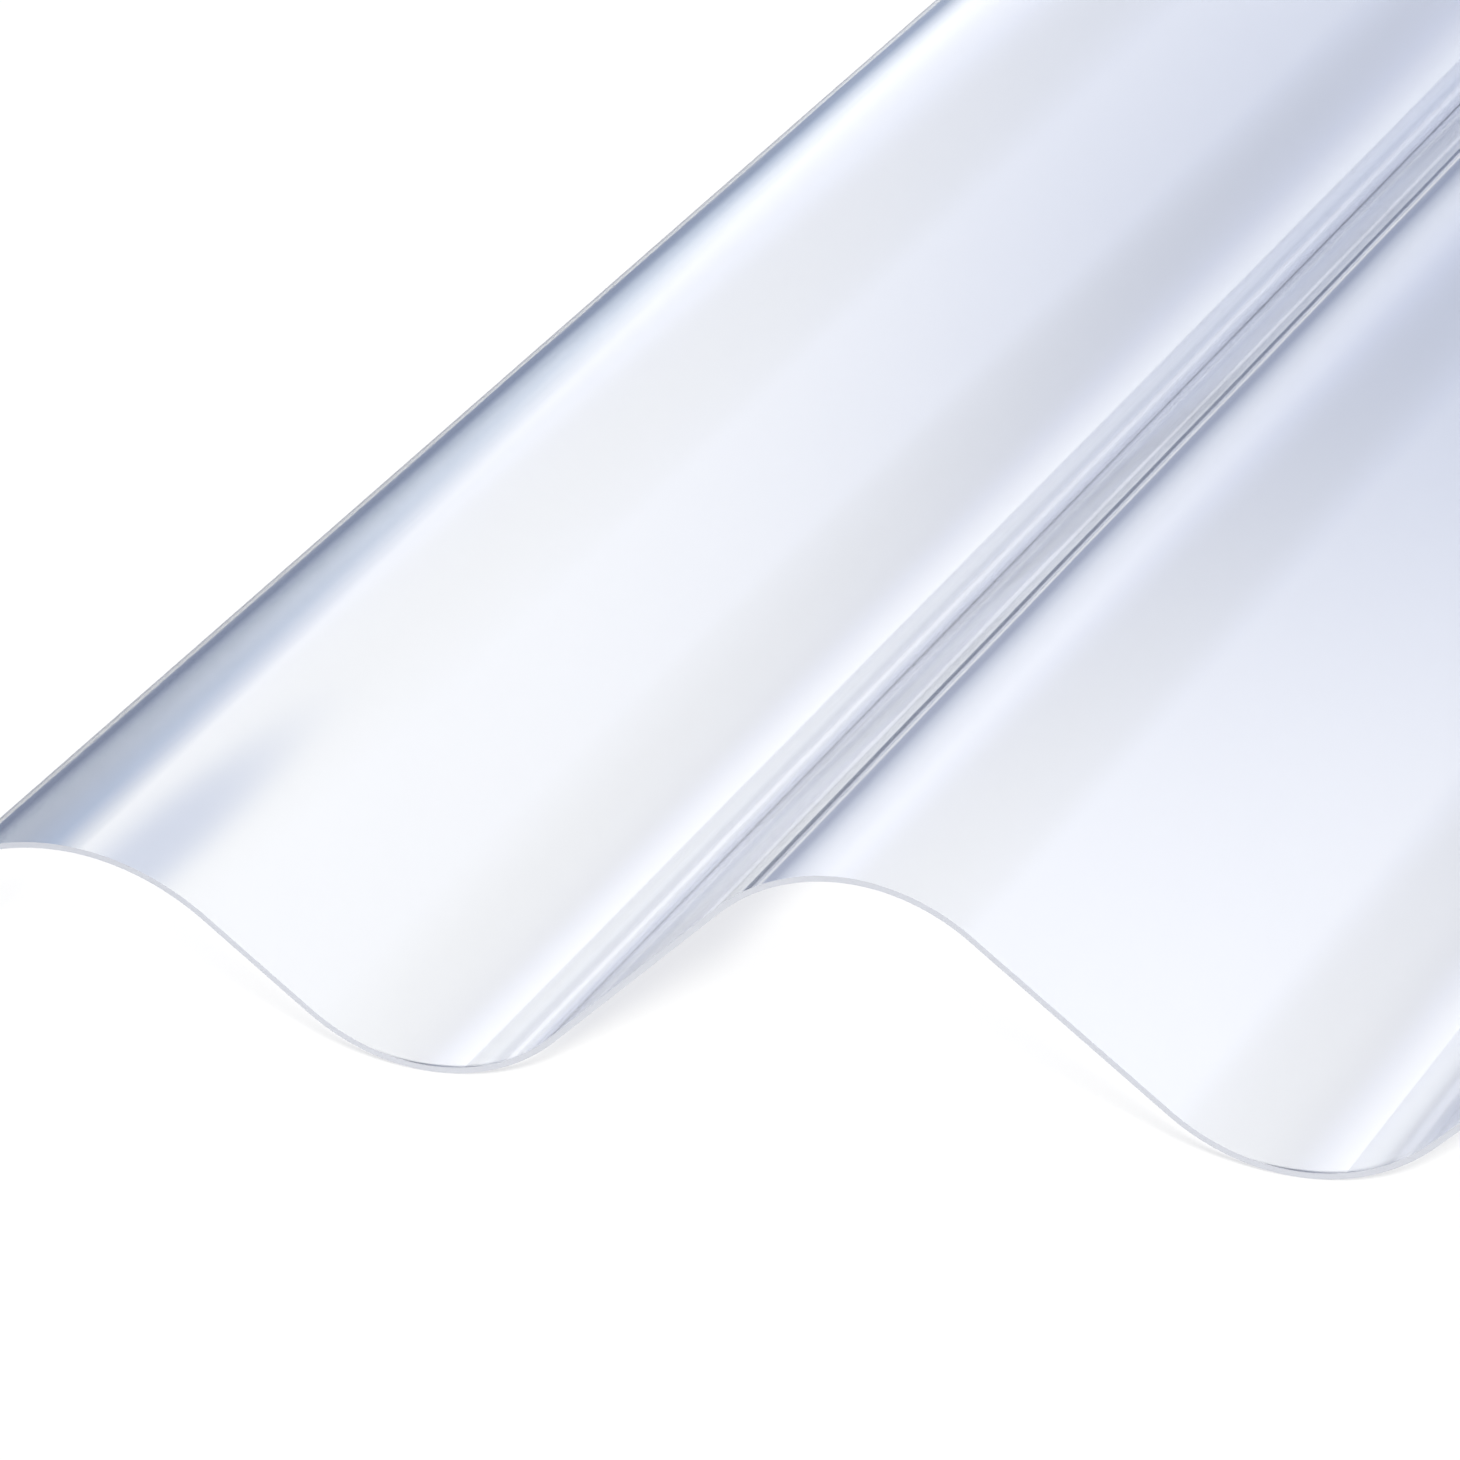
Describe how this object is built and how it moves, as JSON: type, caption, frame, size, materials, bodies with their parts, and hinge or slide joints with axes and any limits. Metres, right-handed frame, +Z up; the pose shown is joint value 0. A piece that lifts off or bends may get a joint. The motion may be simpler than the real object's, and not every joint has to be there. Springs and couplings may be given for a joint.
{
  "type": "pvc roof light sheet",
  "caption": "Clear rigid PVC roof light sheet: one thin skin with large round corrugations along its length and a lower corrugation at one side for the lap.",
  "frame": {"origin": "centre of the sheet's footprint, on the level surface its troughs lie on", "axes": "+Y along the corrugations, +X across them towards the overlap side, +Z up"},
  "size_m": [0.92, 2, 0.051],
  "materials": {
    "clear_pvc": "gloss"
  },
  "bodies": {
    "root": {"roof_light_sheet": "clear_pvc"}
  },
  "joints": []
}
